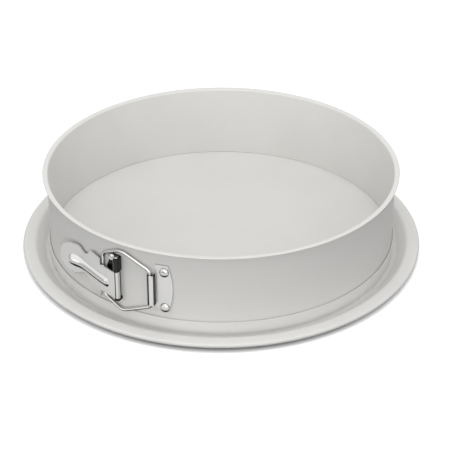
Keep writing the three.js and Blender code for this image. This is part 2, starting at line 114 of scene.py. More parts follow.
KNOB_RADIUS = 12.5
KNOB_MEETS = math.radians(52)
WAIST_EASE = 5
RIB_START = 9.5
RIB_DROP = 0.9
RIB_RADIUS = 3.5
RIB_HEIGHT = 2
RIB_FLARE = 13
BULB_RADIUS = 4.6
BULB_HEIGHT = 3.2
BULB_DROP = 1.5
EAR_SHEET = 1
EAR_OFFSET = 6
EAR_WEB = 0.8
EAR_DEPTH = 2.5
WIRE_RADIUS = 1.1
BAIL_DROP = 1.5
BAIL_ALONG_LEVER = 14.4
BAIL_RIGHT_HALF = 14.6
BAIL_PEAK_HALF = 24.8
BAIL_LEFT_HALF = 17.2
BAIL_PEAK_ALONG = 23.4
BAIL_BOW = 1.5
BAIL_BEND = 2.2
BAIL_WIDE_BEND = 4
BAIL_END_GAP = 0.6
BAIL_SLIP = 3.4
BAIL_PLAY_OUT = 0.2

# The band's two ends look shut while the latch is, and its foot meets the floor
SEAM = 0.06
FOOT_GAP = 0.08
FOOT_EDGE = 0.5
SLOT_DEPTH = 1.6

# Painted dark reflections along the catch's roll and the lever's barrel, in degrees round them, and how far
# the painted shade on the web and the painted highlight on the knuckles reach
ROLL_LINE = (-38, -4)
BARREL_LINE = (-6, 22)
WEB_REACH = 0.3
KNUCKLE_OUT = 0.5

# Bends of the sheets
STEP_BEND = 1.2
GUTTER_BEND = 1.6
FOOT_BEND = 0.2
HINGE_BEND = 1
HINGE_BEND_START = 0.1
CATCH_FOOT_BEND = 0.7
CATCH_HEAD_BEND = 1.4

# Where the rolled sheets start or end, in degrees
EDGE_ROLL_END = -170
KNUCKLE_END = -265
CATCH_ROLL_END = -345
CURL_START = 170

# Softened edges, the rivets' undercut and the rib's section
BRACKET_EDGE = 0.2
BLADE_EDGE = 0.25
EAR_EDGE = 0.15
RIVET_SEAT = 0.2
RIVET_SLOPE = 0.3
RIB_SECTION = 0.95

# Fineness
TURN_STEPS = 240
BEND_STEPS = 7
ROLL_STEPS = 26
EDGE_STEPS = 20
TONGUE_STEPS = 60
RIVET_STEPS = 36
PIN_STEPS = 32
WIRE_STEPS = 10
HEM_STEPS = 4
FOOT_STEPS = 3
CROWN_STEPS = 4
DOME_STEPS = 10
LEVEL_STEP = 1.5

# Coating, plating, and painted shade on the plating
COAT_COLOR = (0.7, 0.695, 0.677)
COAT_DARK = (0.69, 0.684, 0.666)
COAT_PALE = (0.715, 0.709, 0.691)
COAT_ROUGHNESS = (0.42, 0.56)
PLATE_TONE = 0.74
DARK_SHADE_TONE = 0.04
PLATE_ROUGHNESS = (0.26, 0.36)
PAINTED_SHADE_COLOR = (0.02, 0.0195, 0.0185)
DULL_ROUGHNESS = 0.85
CORNER_REACH = 5
PAINTED_SHADE_BELOW = 0.15
LOOKS_DOWN = (-0.3, -0.01)

wall_middle = PAN_RADIUS + BAND_SHEET / 2
wall_outer = PAN_RADIUS + BAND_SHEET
skirt_middle = FLOOR_RADIUS + CLEARANCE + BAND_SHEET / 2
plate_middle = wall_outer + CLEARANCE + BRACKET_SHEET / 2
plate_outer = wall_outer + CLEARANCE + BRACKET_SHEET
knuckle_middle = PIN_RADIUS + CLEARANCE + BRACKET_SHEET / 2
curl_middle = PIN_RADIUS + CLEARANCE + LEVER_SHEET / 2
roll_middle = WIRE_RADIUS + CLEARANCE + BRACKET_SHEET / 2
pin_out = wall_outer + PIN_OFF_WALL
catch_out = wall_outer + CATCH_OFF_WALL
catch_angle = CATCH_ALONG / wall_outer
band_end = knuckle_middle + BRACKET_SHEET / 2
blade_inside = PIN_RADIUS + CLEARANCE
lever_height = LATCH_HEIGHT - LEVER_DROP
bail_height = LATCH_HEIGHT - BAIL_DROP
ear_right = BAIL_ALONG_LEVER - BAIL_SLIP - WIRE_RADIUS - CLEARANCE - EAR_WEB
ear_left = BAIL_ALONG_LEVER + WIRE_RADIUS + CLEARANCE + EAR_WEB
leg_in = WIRE_RADIUS + CLEARANCE + BAIL_PLAY_OUT - blade_inside


# Outlines

def rounded(corners, steps=BEND_STEPS):
    """A line through corners (x, y) or (x, y, reach).

    A corner with a reach is rounded over that reach each way.
    """
    points = []
    for i, corner in enumerate(corners):
        here = Vector(corner[:2])
        if len(corner) == 2:
            points.append(here)
            continue
        reach = corner[2]
        before = here + (Vector(corners[i - 1][:2]) - here).normalized() * reach
        after = here + (Vector(corners[i + 1][:2]) - here).normalized() * reach
        for k in range(steps + 1):
            t = k / steps
            points.append(before * (1 - t) ** 2 + here * 2 * t * (1 - t) + after * t ** 2)
    return points


def arc(x, y, radius, first, last, steps):
    angles = [math.radians(first + (last - first) * i / steps) for i in range(steps + 1)]
    return [Vector((x + radius * math.cos(a), y + radius * math.sin(a))) for a in angles]


def strip(middle, sheet):
    """The outline of a strip of sheet with rounded ends, from the line along its middle."""
    directions = [(b - a).normalized() for a, b in zip(middle, middle[1:])]
    half = sheet / 2
    right, left = [], []
    for i, point in enumerate(middle):
        before = directions[max(i - 1, 0)]
        after = directions[min(i, len(directions) - 1)]
        across = Vector((-before.y - after.y, before.x + after.x)).normalized()
        offset = across * half / across.dot(Vector((-before.y, before.x)))
        right.append(point - offset)
        left.append(point + offset)

    def end(point, direction):
        heading = math.degrees(math.atan2(direction.y, direction.x))
        return arc(point.x, point.y, half, heading - 90, heading + 90, HEM_STEPS * 2)[1:-1]

    return right + end(middle[-1], directions[-1]) + left[::-1] + end(middle[0], -directions[0])


def around(along, out):
    """A point in plan, from a length along the outside of the wall and a distance from the pan's axis."""
    angle = along / wall_outer
    return Vector((out * math.sin(angle), -out * math.cos(angle)))


def smoothstep(low, high, value):
    t = min(max((value - low) / (high - low), 0.0), 1.0)
    return t * t * (3 - 2 * t)


# Meshes

def new_piece(name, points, faces, material, body, nodes=(), sharp=35):
    mesh = bpy.data.meshes.new(name)
    mesh.from_pydata([Vector(p) * MM for p in points], [], faces)
    bm = bmesh.new()
    bm.from_mesh(mesh)
    bmesh.ops.remove_doubles(bm, verts=bm.verts, dist=1e-6)
    bmesh.ops.dissolve_degenerate(bm, edges=bm.edges, dist=1e-7)
    bmesh.ops.recalc_face_normals(bm, faces=bm.faces)
    bm.to_mesh(mesh)
    bm.free()
    mesh.polygons.foreach_set("use_smooth", [True] * len(mesh.polygons))
    mesh.set_sharp_from_angle(angle=math.radians(sharp))
    piece = bpy.data.objects.new(name, mesh)
    bpy.context.scene.collection.objects.link(piece)
    mesh.materials.append(material)
    if body:
        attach(piece, body)
    if nodes:
        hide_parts(*nodes)
    return piece


def turned(outline, first=0.0, sweep=2 * math.pi, steps=TURN_STEPS):
    """Points and faces of an outline in (radius, height), turned about the pan's axis. Angles start at -Y."""
    whole = abs(sweep - 2 * math.pi) < 1e-9
    columns = steps if whole else steps + 1
    count = len(outline)
    points, faces = [], []
    for i in range(columns):
        a = first + sweep * i / steps
        points += [(p.x * math.sin(a), -p.x * math.cos(a), p.y) for p in outline]
    for i in range(steps):
        here, after = i * count, ((i + 1) % columns) * count
        for j in range(count):
            k = (j + 1) % count
            faces.append((here + j, after + j, after + k, here + k))
    if not whole:
        faces.append(tuple(range(count)))
        faces.append(tuple(reversed(range((columns - 1) * count, columns * count))))
    return points, faces


def add_sheet_finish(piece, sheet, edge):
    """Gives a single-surface piece its sheet thickness, with softened edges."""
    thick = piece.modifiers.new("sheet", "SOLIDIFY")
    thick.thickness = sheet * MM
    thick.offset = 0
    thick.use_even_offset = True
    bevel = piece.modifiers.new("edges", "BEVEL")
    bevel.width = edge * MM
    bevel.segments = 2
    bevel.limit_method = "ANGLE"
    bevel.angle_limit = math.radians(50)
    normals = piece.modifiers.new("normals", "WEIGHTED_NORMAL")
    normals.keep_sharp = False


def paint_faces(piece, material, chosen):
    """Gives a second material to the faces whose middle, in millimetres, is chosen."""
    piece.data.materials.append(material)
    for face in piece.data.polygons:
        if chosen(face.center / MM):
            face.material_index = 1


def grid_faces(rows, columns, keep):
    faces = []
    for i in range(rows - 1):
        for j in range(columns - 1):
            if keep(i, j):
                here = i * columns + j
                after = here + columns
                faces.append((here, here + 1, after + 1, after))
    return faces


def used_only(points, faces):
    order = sorted({k for face in faces for k in face})
    index = {k: i for i, k in enumerate(order)}
    return [points[k] for k in order], [tuple(index[k] for k in face) for face in faces]


# Materials

def new_material(name, color, metallic, roughness):
    material = bpy.data.materials.new(name)
    material.use_nodes = True
    shader = material.node_tree.nodes["Principled BSDF"]
    shader.inputs["Base Color"].default_value = (*color, 1)
    shader.inputs["Metallic"].default_value = metallic
    shader.inputs["Roughness"].default_value = roughness
    return material, material.node_tree, shader


def coated_steel():
    """Satin grey bake coating: faint mottling and a fine sprayed grain."""
    material, tree, shader = new_material("coated_steel", COAT_COLOR, 0.0, 0.5)
    nodes, links = tree.nodes, tree.links
    place = nodes.new("ShaderNodeTexCoord")
    mottle = nodes.new("ShaderNodeTexNoise")
    mottle.inputs["Scale"].default_value = 22
    mottle.inputs["Detail"].default_value = 4
    ramp = nodes.new("ShaderNodeValToRGB")
    ramp.color_ramp.elements[0].position = 0.3
    ramp.color_ramp.elements[0].color = (*COAT_DARK, 1)
    ramp.color_ramp.elements[1].position = 0.7
    ramp.color_ramp.elements[1].color = (*COAT_PALE, 1)
    grain = nodes.new("ShaderNodeTexNoise")
    grain.inputs["Scale"].default_value = 2600
    grain.inputs["Detail"].default_value = 2
    gloss = nodes.new("ShaderNodeMapRange")
    gloss.inputs["To Min"].default_value = COAT_ROUGHNESS[0]
    gloss.inputs["To Max"].default_value = COAT_ROUGHNESS[1]
    bump = nodes.new("ShaderNodeBump")
    bump.inputs["Strength"].default_value = 0.04
    bump.inputs["Distance"].default_value = 0.0002
    links.new(place.outputs["Object"], mottle.inputs["Vector"])
    links.new(place.outputs["Object"], grain.inputs["Vector"])
    links.new(mottle.outputs["Fac"], ramp.inputs["Fac"])
    links.new(ramp.outputs["Color"], shader.inputs["Base Color"])
    links.new(mottle.outputs["Fac"], gloss.inputs["Value"])
    links.new(gloss.outputs["Result"], shader.inputs["Roughness"])
    links.new(grain.outputs["Fac"], bump.inputs["Height"])
    links.new(bump.outputs["Normal"], shader.inputs["Normal"])
    return material


def plated_steel(name, tone, bright_above):
    """Satin plating with faint rolling marks, and painted shade: rough and dark in corners and on faces that
    look down.
    """
    bright = (tone, 0.995 * tone, 0.98 * tone)
    material, tree, shader = new_material(name, bright, 1.0, 0.27)
    nodes, links = tree.nodes, tree.links
    place = nodes.new("ShaderNodeTexCoord")
    stretch = nodes.new("ShaderNodeMapping")
    stretch.inputs["Scale"].default_value = (900, 900, 60)
    marks = nodes.new("ShaderNodeTexNoise")
    marks.inputs["Scale"].default_value = 1
    marks.inputs["Detail"].default_value = 3
    gloss = nodes.new("ShaderNodeMapRange")
    gloss.inputs["To Min"].default_value = PLATE_ROUGHNESS[0]
    gloss.inputs["To Max"].default_value = PLATE_ROUGHNESS[1]
    # Painted shade: ambient occlusion times a downward-facing ramp darkens the plating's colour and makes it
    # rougher.
    corners = nodes.new("ShaderNodeAmbientOcclusion")
    corners.inputs["Distance"].default_value = CORNER_REACH * MM
    corners.samples = 8
    facing = nodes.new("ShaderNodeNewGeometry")
    parts = nodes.new("ShaderNodeSeparateXYZ")
    downward = nodes.new("ShaderNodeMapRange")
    downward.inputs["From Min"].default_value = LOOKS_DOWN[0]
    downward.inputs["From Max"].default_value = LOOKS_DOWN[1]
    downward.inputs["To Min"].default_value = 0.1
    lit_share = nodes.new("ShaderNodeMath")
    lit_share.operation = "MULTIPLY"
    rough = nodes.new("ShaderNodeMapRange")
    rough.inputs["From Min"].default_value = PAINTED_SHADE_BELOW
    rough.inputs["From Max"].default_value = bright_above
    rough.inputs["To Min"].default_value = DULL_ROUGHNESS
    shade_ramp = nodes.new("ShaderNodeValToRGB")
    shade_ramp.color_ramp.elements[0].position = PAINTED_SHADE_BELOW
    shade_ramp.color_ramp.elements[0].color = (*PAINTED_SHADE_COLOR, 1)
    shade_ramp.color_ramp.elements[1].position = bright_above
    shade_ramp.color_ramp.elements[1].color = (*bright, 1)
    links.new(place.outputs["Object"], stretch.inputs["Vector"])
    links.new(stretch.outputs["Vector"], marks.inputs["Vector"])
    links.new(marks.outputs["Fac"], gloss.inputs["Value"])
    links.new(gloss.outputs["Result"], rough.inputs["To Max"])
    links.new(lit_share.outputs["Value"], rough.inputs["Value"])
    links.new(rough.outputs["Result"], shader.inputs["Roughness"])
    links.new(facing.outputs["Normal"], parts.inputs["Vector"])
    links.new(parts.outputs["Z"], downward.inputs["Value"])
    links.new(corners.outputs["AO"], lit_share.inputs[0])
    links.new(downward.outputs["Result"], lit_share.inputs[1])
    links.new(lit_share.outputs["Value"], shade_ramp.inputs["Fac"])
    links.new(shade_ramp.outputs["Color"], shader.inputs["Base Color"])
    return material


coated = coated_steel()
plated = plated_steel("plated_steel", PLATE_TONE, bright_above=0.75)
# A near-black copy of the plating: painted shade on the catch's web, painted dark reflections along the roll
# and the barrel, and the hinge plate's near-black colour.
dark_shade_plating = plated_steel("dark_shade_steel", DARK_SHADE_TONE, bright_above=0.65)


# Tray

def build_tray():
    half = TRAY_SHEET / 2
    roll_axis = TRAY_RADIUS - EDGE_ROLL
    sheet = rounded([
        (0, FLOOR_TOP - half),
        (FLOOR_RADIUS - half, FLOOR_TOP - half, STEP_BEND),
        (FLOOR_RADIUS - half, half, STEP_BEND),
        (GUTTER_RADIUS, half, GUTTER_BEND),
        (TRAY_RIM_INNER, TRAY_RIM_TOP - half, GUTTER_BEND),
        (roll_axis, TRAY_RIM_TOP - half),
    ])
    roll_height = TRAY_RIM_TOP - EDGE_ROLL
    roll = arc(roll_axis, roll_height, EDGE_ROLL - half, 90, EDGE_ROLL_END, EDGE_STEPS)[1:]
    outline = strip(sheet + roll, TRAY_SHEET)
    # The sheet runs to the axis, so its inner end is square there.
    outline = [Vector((max(p.x, 0), p.y)) for p in outline]
    points, faces = turned(outline)
    new_piece("tray", points, faces, coated, "base", ["base_tray"])


# Band

def build_band():
    """One strip with a flared rim.

    Inside, its wall runs straight to the floor. Outside, a slot parts its foot from the wall.
    """
    top = BAND_TOP - BAND_SHEET / 2
    skirt_outer = skirt_middle + BAND_SHEET / 2
    skirt_inner = skirt_middle - BAND_SHEET / 2
    wall = strip(rounded([
        (wall_middle, CREASE_HEIGHT),
        (wall_middle, top - LIP_RISE, LIP_CURVE),
        (wall_middle + LIP_REACH, top),
    ]), BAND_SHEET)
    # The strip's own lower end gives way to the foot.
    wall = wall[:-(2 * HEM_STEPS - 1)]
    floor_side = FLOOR_TOP + FOOT_GAP
    slot_inner = skirt_outer - FOOT_EDGE
    slot_bottom = CREASE_HEIGHT - SLOT_DEPTH
    foot = rounded([
        (PAN_RADIUS, floor_side), (skirt_inner, floor_side),
        (skirt_inner, SKIRT_BOTTOM, FOOT_BEND), (skirt_outer, SKIRT_BOTTOM, FOOT_BEND),
        (skirt_outer, CREASE_HEIGHT, FOOT_BEND), (slot_inner, CREASE_HEIGHT, FOOT_BEND),
        (slot_inner, slot_bottom), (wall_outer, slot_bottom),
    ], FOOT_STEPS)
    outline = wall + foot
    seam = band_end + END_GAP / 2
    right_end = (seam + SEAM / 2) / wall_outer
    left_end = (seam - SEAM / 2) / wall_outer + 2 * math.pi
    points, faces = turned(outline, right_end, left_end - right_end)
    band = new_piece("band", points, faces, coated, None, ["band_left", "band_right"])
    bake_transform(band)


def build_tongue():
    set_in = BAND_SHEET + CLEARANCE
    joggle_start = band_end + END_GAP
    joggle_length = 2 * BAND_SHEET + CLEARANCE
    last = joggle_start + joggle_length
    middle = []
    for i in range(TONGUE_STEPS + 1):
        along = -TONGUE_LENGTH + (last + TONGUE_LENGTH) * i / TONGUE_STEPS
        blend = smoothstep(joggle_start, last, along)
        middle.append(around(along, wall_middle - set_in * (1 - blend)))
    outline = strip(middle, BAND_SHEET)
    low, high = FLOOR_TOP + TONGUE_FLOOR_GAP, TONGUE_TOP
    count = len(outline)
    points = [(p.x, p.y, low) for p in outline] + [(p.x, p.y, high) for p in outline]
    faces = [(i, (i + 1) % count, count + (i + 1) % count, count + i) for i in range(count)]
    faces += [tuple(reversed(range(count))), tuple(range(count, 2 * count))]
    new_piece("band_tongue", points, faces, coated, "ring_right")


# Brackets

def bracket_levels(breaks):
    """Heights from the first break to the last, with every break among them."""
    levels = []
    for low, high in zip(breaks, breaks[1:]):
        count = max(1, round((high - low) / LEVEL_STEP))
        levels += [low + (high - low) * i / count for i in range(count)]
    return levels + [breaks[-1]]


def bowed(height, half, corner, bulge):
    """How far along a plate's bowed edge lies at a height."""
    t = (height - LATCH_HEIGHT) / half
    return corner + (bulge - corner) * (1 - t * t)


def in_line(offset, turn, line):
    """Whether an offset from a roll's axis points between two angles off straight out of the wall."""
    angle = math.degrees(math.atan2(offset.x, -offset.y) - turn)
    return offset.length < 2 * roll_middle and line[0] < angle < line[1]


def build_hinge_bracket():
    half = HINGE_PLATE_HEIGHT / 2
    low, high = LATCH_HEIGHT - half, LATCH_HEIGHT + half
    knuckle_low, knuckle_high = LATCH_HEIGHT - KNUCKLE_LENGTH / 2, LATCH_HEIGHT + KNUCKLE_LENGTH / 2
    curl_low, curl_high = lever_height - NECK_HALF - CLEARANCE, lever_height + NECK_HALF + CLEARANCE
    ear_half = EAR_OFFSET + EAR_SHEET / 2 + 2 * CLEARANCE
    window = (lever_height - ear_half, lever_height + ear_half)
    levels = bracket_levels(sorted([low, high, knuckle_low, knuckle_high, curl_low, curl_high, *window]))
    window_x = EAR_SHEET - ear_right
    web = knuckle_middle
    bow_steps, plate_steps = 3, 6
    base = plate_middle * math.cos(web / wall_outer)
    rolled = rounded([(0, -plate_middle), (web, -base, HINGE_BEND), (web, -pin_out)])[1:]
    rolled = [p for p in rolled if p.x > HINGE_PLATE_RIGHT + HINGE_BEND_START]
    rolled += arc(0, -pin_out, knuckle_middle, 0, KNUCKLE_END, ROLL_STEPS)[1:]
    points = []
    for z in levels:
        outer = bowed(z, half, HINGE_PLATE_LEFT, HINGE_PLATE_BULGE)
        inner = max(outer, window_x)
        row = [around(outer + (inner - outer) * i / bow_steps, plate_middle) for i in range(bow_steps)]
        width = HINGE_PLATE_RIGHT - inner
        row += [around(inner + width * i / plate_steps, plate_middle) for i in range(plate_steps + 1)]
        row += rolled
        points += [(p.x, p.y, z) for p in row]
    columns = bow_steps + plate_steps + 1 + len(rolled)
    plate_end = bow_steps + plate_steps

    def keep(i, j):
        z = (levels[i] + levels[i + 1]) / 2
        if j < bow_steps:
            return low < z < high and not window[0] < z < window[1]
        if j < plate_end:
            return low < z < high
        return knuckle_low < z < curl_low or curl_high < z < knuckle_high

    points, faces = used_only(points, grid_faces(len(levels), columns, keep))
    nodes = ["hinge_bracket"]
    piece = new_piece("hinge_plate", points, faces, dark_shade_plating, "ring_left", nodes)
    # Painted highlight: the left side of the knuckles keeps the bright plating on the otherwise near-black
    # hinge plate.
    paint_faces(piece, plated, lambda p: p.y < -plate_outer - KNUCKLE_OUT and p.x < -0.5 * knuckle_middle)
    add_sheet_finish(piece, BRACKET_SHEET, BRACKET_EDGE)


def build_catch_bracket():
    half = CATCH_PLATE_HEIGHT / 2
    low, high = LATCH_HEIGHT - half, LATCH_HEIGHT + half
    hook_low, hook_high = bail_height - CATCH_ROLL_LENGTH / 2, bail_height + CATCH_ROLL_LENGTH / 2
    levels = bracket_levels([low, hook_low, hook_high, high])
    roll_top = -catch_out - roll_middle
    plate_steps = 6
    hook = rounded([
        (CATCH_PLATE_RIGHT / 2, -plate_middle),
        (CATCH_WEB_ALONG, -plate_middle, CATCH_FOOT_BEND),
        (CATCH_WEB_ALONG, roll_top, CATCH_HEAD_BEND),
        (0, roll_top),
    ])[1:]
    hook += arc(0, -catch_out, roll_middle, -90, CATCH_ROLL_END, ROLL_STEPS)[1:]
    turn = Matrix.Rotation(catch_angle, 3, "Z")
    points = []
    for z in levels:
        outer = bowed(z, half, CATCH_PLATE_RIGHT, CATCH_PLATE_BULGE)
        inner = CATCH_WEB_ALONG + CATCH_FOOT_BEND
        row = [around(outer + (inner - outer) * i / plate_steps, plate_middle) for i in range(plate_steps)]
        row += hook
        points += [turn @ Vector((p.x, p.y, z)) for p in row]
    columns = plate_steps + len(hook)
    plate_end = plate_steps + BEND_STEPS // 2

    def keep(i, j):
        z = (levels[i] + levels[i + 1]) / 2
        return j < plate_end or hook_low < z < hook_high

    points, faces = used_only(points, grid_faces(len(levels), columns, keep))
    nodes = ["catch_bracket"]
    piece = new_piece("catch_plate", points, faces, plated, "ring_right", nodes)
    axis = around(CATCH_ALONG, catch_out)
    back = turn.inverted()

    # Painted shade on the web's outer part and a painted dark reflection along the roll.
    def painted_dark(p):
        local = back @ p
        on_web = abs(local.x - CATCH_WEB_ALONG) < WEB_REACH and -local.y > plate_outer
        return on_web or in_line(p.xy - axis, catch_angle, ROLL_LINE)

    paint_faces(piece, dark_shade_plating, painted_dark)
    add_sheet_finish(piece, BRACKET_SHEET, BRACKET_EDGE)


def build_rivets(name, along, turn, middle, body):
    seat = plate_outer + CLEARANCE - PAN_RADIUS
    quarter = arc(0, 0, 1, 0, 90, DOME_STEPS)
    dome = [Vector((RIVET_HEAD * p.x, seat + RIVET_HEAD_HEIGHT * p.y)) for p in quarter]
    under = seat - RIVET_SEAT
    shank = [(0, 0), (RIVET_SHANK, 0), (RIVET_SHANK, under), (RIVET_HEAD - RIVET_SLOPE, under)]
    outline = [Vector(p) for p in shank] + dome[:-1] + [Vector((0, seat + RIVET_HEAD_HEIGHT))]
    angle = along / wall_outer + turn
    for level, height in (("upper", middle + RIVET_SPACING / 2), ("lower", middle - RIVET_SPACING / 2)):
        outward = Vector((math.sin(angle), -math.cos(angle), 0))
        sideways = Vector((math.cos(angle), math.sin(angle), 0))
        start = outward * PAN_RADIUS + Vector((0, 0, height))
        points, faces = [], []
        count = len(outline)
        for i in range(RIVET_STEPS):
            a = 2 * math.pi * i / RIVET_STEPS
            across = sideways * math.cos(a) + Vector((0, 0, 1)) * math.sin(a)
            points += [start + outward * p.y + across * p.x for p in outline]
        for i in range(RIVET_STEPS):
            here, after = i * count, ((i + 1) % RIVET_STEPS) * count
            faces += [(here + j, after + j, after + j + 1, here + j + 1) for j in range(count - 1)]
        nodes = [f"{name}_rivet_{level}"]
        new_piece(f"{name}_rivet_head_{level}", points, faces, plated, body, nodes)


def build_pin():
    low = LATCH_HEIGHT - KNUCKLE_LENGTH / 2 - CLEARANCE
    high = LATCH_HEIGHT + KNUCKLE_LENGTH / 2 + CLEARANCE
    crown = PIN_HEAD_HEIGHT / 2
    outline = rounded([
        (0, low - PIN_HEAD_HEIGHT), (PIN_HEAD, low - PIN_HEAD_HEIGHT, crown), (PIN_HEAD, low, crown / 2),
        (PIN_RADIUS, low), (PIN_RADIUS, high), (PIN_HEAD, high, crown / 2),
        (PIN_HEAD, high + PIN_HEAD_HEIGHT, crown), (0, high + PIN_HEAD_HEIGHT),
    ], CROWN_STEPS)
    points, faces = turned(outline, steps=PIN_STEPS)
    points = [(x, y - pin_out, z) for x, y, z in points]
    new_piece("pin", points, faces, plated, "ring_left", ["lever_pin"])


# Lever: built about its pin, blade along -x, outer face towards -y

def bent(start, length, inwards):
    return start + Vector((-length * math.cos(inwards), length * math.sin(inwards)))


knob_lean = SHANK_BEND - KNOB_BEND
neck_end = Vector((-NECK_LENGTH, -curl_middle))
shank_end = bent(neck_end, SHANK_LENGTH, SHANK_BEND)
knob_middle = bent(shank_end, KNOB_OFFSET, knob_lean)
knob_tip = bent(knob_middle, 2 * KNOB_RADIUS, knob_lean)
lever_line = rounded([
    (0, neck_end.y), (*neck_end, BEND_REACH), (*shank_end, BEND_REACH), tuple(knob_tip),
])


def lever_depth(x):
    """The sheet's middle line in plan."""
    for a, b in zip(lever_line, lever_line[1:]):
        if b.x <= x <= a.x:
            return a.y + (b.y - a.y) * (x - a.x) / (b.x - a.x)
    return neck_end.y


def middle_height(x):
    rise = math.tan(SHANK_RISE) * max(neck_end.x - max(x, shank_end.x), 0)
    return rise - math.tan(KNOB_FALL) * max(shank_end.x - max(x, knob_middle.x), 0)


def lever_half(x):
    """Half the blade's height."""
    meet = knob_middle + Vector((KNOB_RADIUS * math.cos(KNOB_MEETS), 0))
    shoulder = neck_end.x - SHOULDER_LENGTH
    if x >= shoulder:
        return SHOULDER_HALF
    if x <= meet.x:
        return math.sqrt(max(KNOB_RADIUS ** 2 - (x - knob_middle.x) ** 2, 0.0))
    a = Vector((shoulder, SHOULDER_HALF))
    b = a - Vector((WAIST_EASE / 2, WAIST_EASE))
    d = Vector((meet.x, KNOB_RADIUS * math.sin(KNOB_MEETS)))
    c = d + Vector((WAIST_EASE * math.sin(KNOB_MEETS), -WAIST_EASE * math.cos(KNOB_MEETS)))
    low, high = 0.0, 1.0
    for _ in range(30):
        t = (low + high) / 2
        p = a * (1 - t) ** 3 + b * 3 * t * (1 - t) ** 2 + c * 3 * t * t * (1 - t) + d * t ** 3
        low, high = (t, high) if p.x > x else (low, t)
    return p.y


def rib_height(x, z):
    """How far the pressed rib, and the dome that it widens into, stand out of the blade."""
    far = Vector((knob_middle.x, middle_height(knob_middle.x) - BULB_DROP))
    near = Vector((-RIB_START, -RIB_DROP))
    here = Vector((x, z))
    t = min(max((here - far).dot(near - far) / (near - far).length_squared, 0.0), 1.0)
    flare = 1 - smoothstep(0, RIB_FLARE, t * (near - far).length)
    radius = RIB_RADIUS + (BULB_RADIUS - RIB_RADIUS) * flare
    height = RIB_HEIGHT + (BULB_HEIGHT - RIB_HEIGHT) * flare
    away = (here - far.lerp(near, t)).length / radius
    return height * max(1 - away ** 2, 0) ** RIB_SECTION


def build_lever():
    """The sheet is a grid: rows along its middle line, and shares of its half height, crowded at the rib."""
    tip = knob_middle.x - KNOB_RADIUS
    crowd = 1.5
    inner_steps, outer_steps, neck_steps, blade_steps = 22, 4, 24, 110
    inner_share = (NECK_HALF / SHOULDER_HALF) ** (1 / crowd)
    inner = [inner_share * k / inner_steps for k in range(-inner_steps, inner_steps + 1)]
    outer = [inner_share + (1 - inner_share) * k / outer_steps for k in range(1, outer_steps + 1)]
    shares = [-share for share in reversed(outer)] + inner + outer
    turn = Matrix.Rotation(-LEVER_LEAN, 3, "Z")
    place = Vector((0, -pin_out, lever_height))
    levels = [math.copysign(abs(share) ** crowd, share) for share in shares]
    curl = arc(0, 0, curl_middle, CURL_START, -90, ROLL_STEPS)
    neck = [neck_end.x * k / neck_steps for k in range(1, neck_steps + 1)]
    turns = [math.pi / 2 * k / blade_steps for k in range(1, blade_steps + 1)]
    blade = [tip + (neck_end.x - tip) * (1 - math.sin(a)) for a in turns]
    points = []
    for p in curl:
        points += [place + turn @ Vector((p.x, p.y, SHOULDER_HALF * level)) for level in levels]
    for x in neck + blade:
        for level in levels:
            z = middle_height(x) + lever_half(x) * level
            points.append(place + turn @ Vector((x, lever_depth(x) - rib_height(x, z), z)))
    neck_rows = len(curl) + len(neck) - 1

    def keep(i, j):
        return i >= neck_rows or abs(shares[j] + shares[j + 1]) / 2 < inner_share

    rows = len(curl) + len(neck) + len(blade)
    points, faces = used_only(points, grid_faces(rows, len(shares), keep))
    nodes = ["lever"]
    piece = new_piece("lever_blade", points, faces, plated, "lever_arm", nodes, sharp=60)
    # Painted dark reflection: a dark line along the barrel.
    paint_faces(piece, dark_shade_plating, lambda p: in_line(p.xy - place.xy, 0, BARREL_LINE))
    add_sheet_finish(piece, LEVER_SHEET, BLADE_EDGE)

    xs = [-ear_left, EAR_WEB - ear_left, -ear_right - EAR_WEB, -ear_right]
    ys = [-curl_middle, -blade_inside, EAR_DEPTH - blade_inside]
    for name, level in (("upper", EAR_OFFSET), ("lower", -EAR_OFFSET)):
        points = [place + turn @ Vector((x, y, level)) for x in xs for y in ys]
        points, faces = used_only(points, grid_faces(4, 3, lambda i, j: (i, j) != (1, 1)))
        ear = new_piece(f"lever_ear_{name}", points, faces, plated, "lever_arm")
        add_sheet_finish(ear, EAR_SHEET, EAR_EDGE)


def build_bail():
    right_leg = around(CATCH_ALONG, catch_out)
    left_leg = Vector((0, -pin_out)) + Matrix.Rotation(-LEVER_LEAN, 2) @ Vector((-BAIL_ALONG_LEVER, leg_in))
    reach = left_leg - right_leg
    span = reach.length
    heading = reach.normalized()
    outwards = Vector((-heading.y, heading.x))
    peak = (BAIL_PEAK_ALONG, BAIL_PEAK_HALF)
    corners = [
        (0, BAIL_END_GAP / 2), (0, BAIL_RIGHT_HALF, BAIL_BEND), (*peak, BAIL_WIDE_BEND),
        (span, BAIL_LEFT_HALF, BAIL_WIDE_BEND), (span, -BAIL_LEFT_HALF, BAIL_WIDE_BEND),
        (peak[0], -peak[1], BAIL_WIDE_BEND), (0, -BAIL_RIGHT_HALF, BAIL_BEND), (0, -BAIL_END_GAP / 2),
    ]
    route = rounded(corners, WIRE_STEPS)
    curve = bpy.data.curves.new("wire", "CURVE")
    curve.dimensions = "3D"
    spline = curve.splines.new("POLY")
    spline.points.add(len(route) - 1)
    for point, p in zip(spline.points, route):
        bow = BAIL_BOW * min(p.x / BAIL_PEAK_ALONG, (span - p.x) / (span - BAIL_PEAK_ALONG))
        place = right_leg + heading * p.x + outwards * bow
        point.co = (place.x * MM, place.y * MM, (bail_height + p.y) * MM, 1)
    curve.bevel_depth = WIRE_RADIUS * MM
    curve.bevel_resolution = 6
    curve.use_fill_caps = True
    curve.materials.append(plated)
    wire = bpy.data.objects.new("wire", curve)
    bpy.context.scene.collection.objects.link(wire)
    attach(wire, "bail")
    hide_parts("wire_bail")


